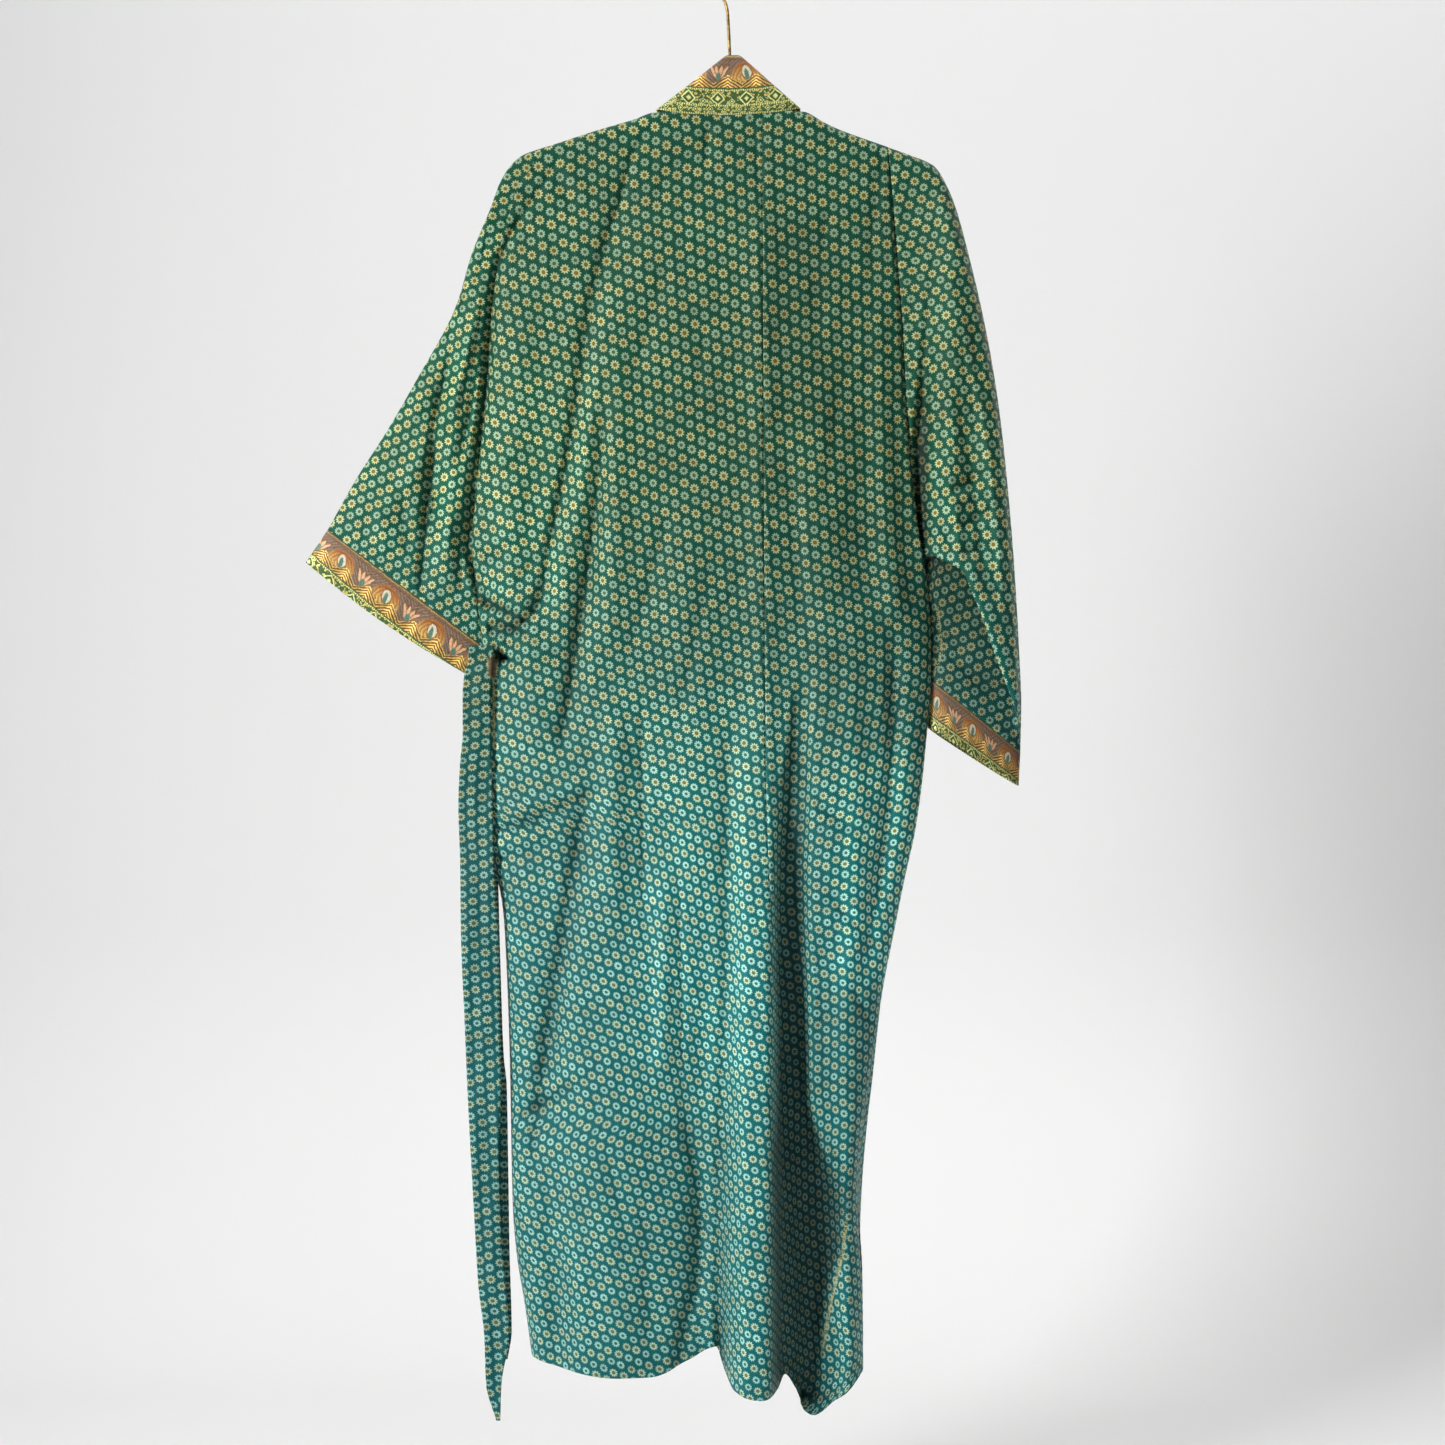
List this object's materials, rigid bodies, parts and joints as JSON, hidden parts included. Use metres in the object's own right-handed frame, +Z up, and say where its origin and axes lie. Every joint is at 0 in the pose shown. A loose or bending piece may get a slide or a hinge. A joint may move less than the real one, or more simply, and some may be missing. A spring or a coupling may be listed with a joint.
{
  "type": "kimono robe on a hanger",
  "caption": "Long silk kimono robe with wide sleeves, border cloth at neck and cuffs and a hanging belt, on a wooden hanger with a wire hook.",
  "frame": {"origin": "inside of the hook's bend, where a rail carries it", "axes": "+Z up, +Y out of the robe's front, +X towards the wearer's right sleeve"},
  "size_m": [0.7164, 0.1088, 1.4628],
  "materials": {
    "printed_silk": "soft silk sheen, small daisy print",
    "border_cloth": "woven brocade with metallic thread",
    "hanger_wood": "satin varnish",
    "hook_wire": "dull plated wire"
  },
  "bodies": {
    "root": {"back_left": "printed_silk", "back_right": "printed_silk", "left_front": "printed_silk", "right_front": "printed_silk", "left_sleeve": "printed_silk", "right_sleeve": "printed_silk", "left_cuff": "border_cloth", "right_cuff": "border_cloth", "neckband": "border_cloth", "belt": "printed_silk", "belt_loop": "printed_silk", "hanger_arms": "hanger_wood", "hanger_hook": "hook_wire"}
  },
  "joints": []
}
